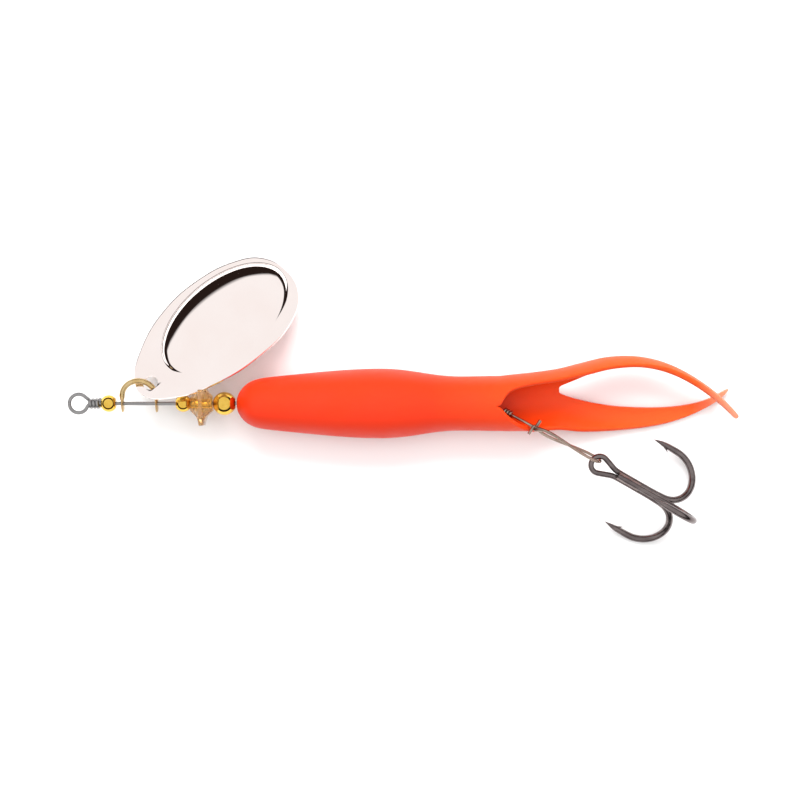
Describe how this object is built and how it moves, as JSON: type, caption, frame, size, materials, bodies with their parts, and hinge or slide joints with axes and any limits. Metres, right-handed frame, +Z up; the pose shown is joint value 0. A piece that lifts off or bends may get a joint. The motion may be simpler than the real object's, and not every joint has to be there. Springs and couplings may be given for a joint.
{
  "type": "inline spinner",
  "caption": "Inline spinner lure: oval blade on a clevis, finned hub and beads on a wire shaft, weighted rubber-tailed body, snap and treble hook.",
  "frame": {"origin": "centre of the line-tie eye, on the shaft's axis", "axes": "+X along the shaft from the line-tie eye towards the tail, +Y the side the blade lies on, +Z up from the table the lure lies on"},
  "size_m": [0.1336, 0.0578, 0.0193],
  "materials": {
    "stainless_wire": "drawn wire, satin",
    "gold_plate": "polished gold plate",
    "clevis_brass": "satin brass wire",
    "copper_plate": "mirror-polished rose copper plate",
    "amber_plastic": "clear amber moulding",
    "bushing_brass": "plain brass tube",
    "weight_brass": "turned brass",
    "orange_rubber": "matte soft latex",
    "nickel_wire": "warm nickel wire",
    "black_nickel": "black nickel",
    "braze": "plated braze"
  },
  "bodies": {
    "shaft": {"shaft_wire": "stainless_wire"},
    "front_bead": {"front_bead": "gold_plate"},
    "clevis": {"clevis": "clevis_brass"},
    "blade": {"blade": "copper_plate"},
    "middle_bead": {"middle_bead": "gold_plate"},
    "hub": {"finned_hub": "amber_plastic", "hub_bushing": "bushing_brass"},
    "rear_bead": {"rear_bead": "gold_plate"},
    "body": {"body_weight": "weight_brass", "rubber_sleeve": "orange_rubber"},
    "snap": {"snap_link": "nickel_wire"},
    "treble": {"treble_double_hook": "black_nickel", "treble_third_hook": "black_nickel", "treble_braze": "braze"}
  },
  "joints": [
    {"name": "front_bead_spin", "type": "hinge", "parent": "shaft", "child": "front_bead", "pos_m": [0.00603, 0, 0], "axis": [1, 0, 0], "continuous": true},
    {"name": "clevis_spin", "type": "hinge", "parent": "shaft", "child": "clevis", "pos_m": [0.0122, 0, 0], "axis": [1, 0, 0], "continuous": true},
    {"name": "blade_swing", "type": "hinge", "parent": "clevis", "child": "blade", "pos_m": [0.0122, 0.00142, 0.00066], "axis": [0, -0.4226, 0.9063], "range_deg": [0, 60]},
    {"name": "middle_bead_spin", "type": "hinge", "parent": "shaft", "child": "middle_bead", "pos_m": [0.02094, 0, 0], "axis": [1, 0, 0], "continuous": true},
    {"name": "hub_spin", "type": "hinge", "parent": "shaft", "child": "hub", "pos_m": [0.02468, 0, 0], "axis": [1, 0, 0], "continuous": true},
    {"name": "rear_bead_spin", "type": "hinge", "parent": "shaft", "child": "rear_bead", "pos_m": [0.02916, 0, 0], "axis": [1, 0, 0], "continuous": true},
    {"name": "body_turn", "type": "hinge", "parent": "shaft", "child": "body", "pos_m": [0.05, 0, 0], "axis": [1, 0, 0], "range_deg": [-2, 10]},
    {"name": "snap_swing", "type": "hinge", "parent": "shaft", "child": "snap", "pos_m": [0.0821, 0, 0], "axis": [0, 0, 1], "range_deg": [-1, 8]},
    {"name": "treble_swing", "type": "hinge", "parent": "snap", "child": "treble", "pos_m": [0.10385, -0.01215, 0.00245], "axis": [0.1809, -0.1024, 0.9781], "range_deg": [-15, 5]}
  ],
  "couplings": [
    {"joint": "hub_spin", "follows": "clevis_spin", "ratio": 1}
  ]
}
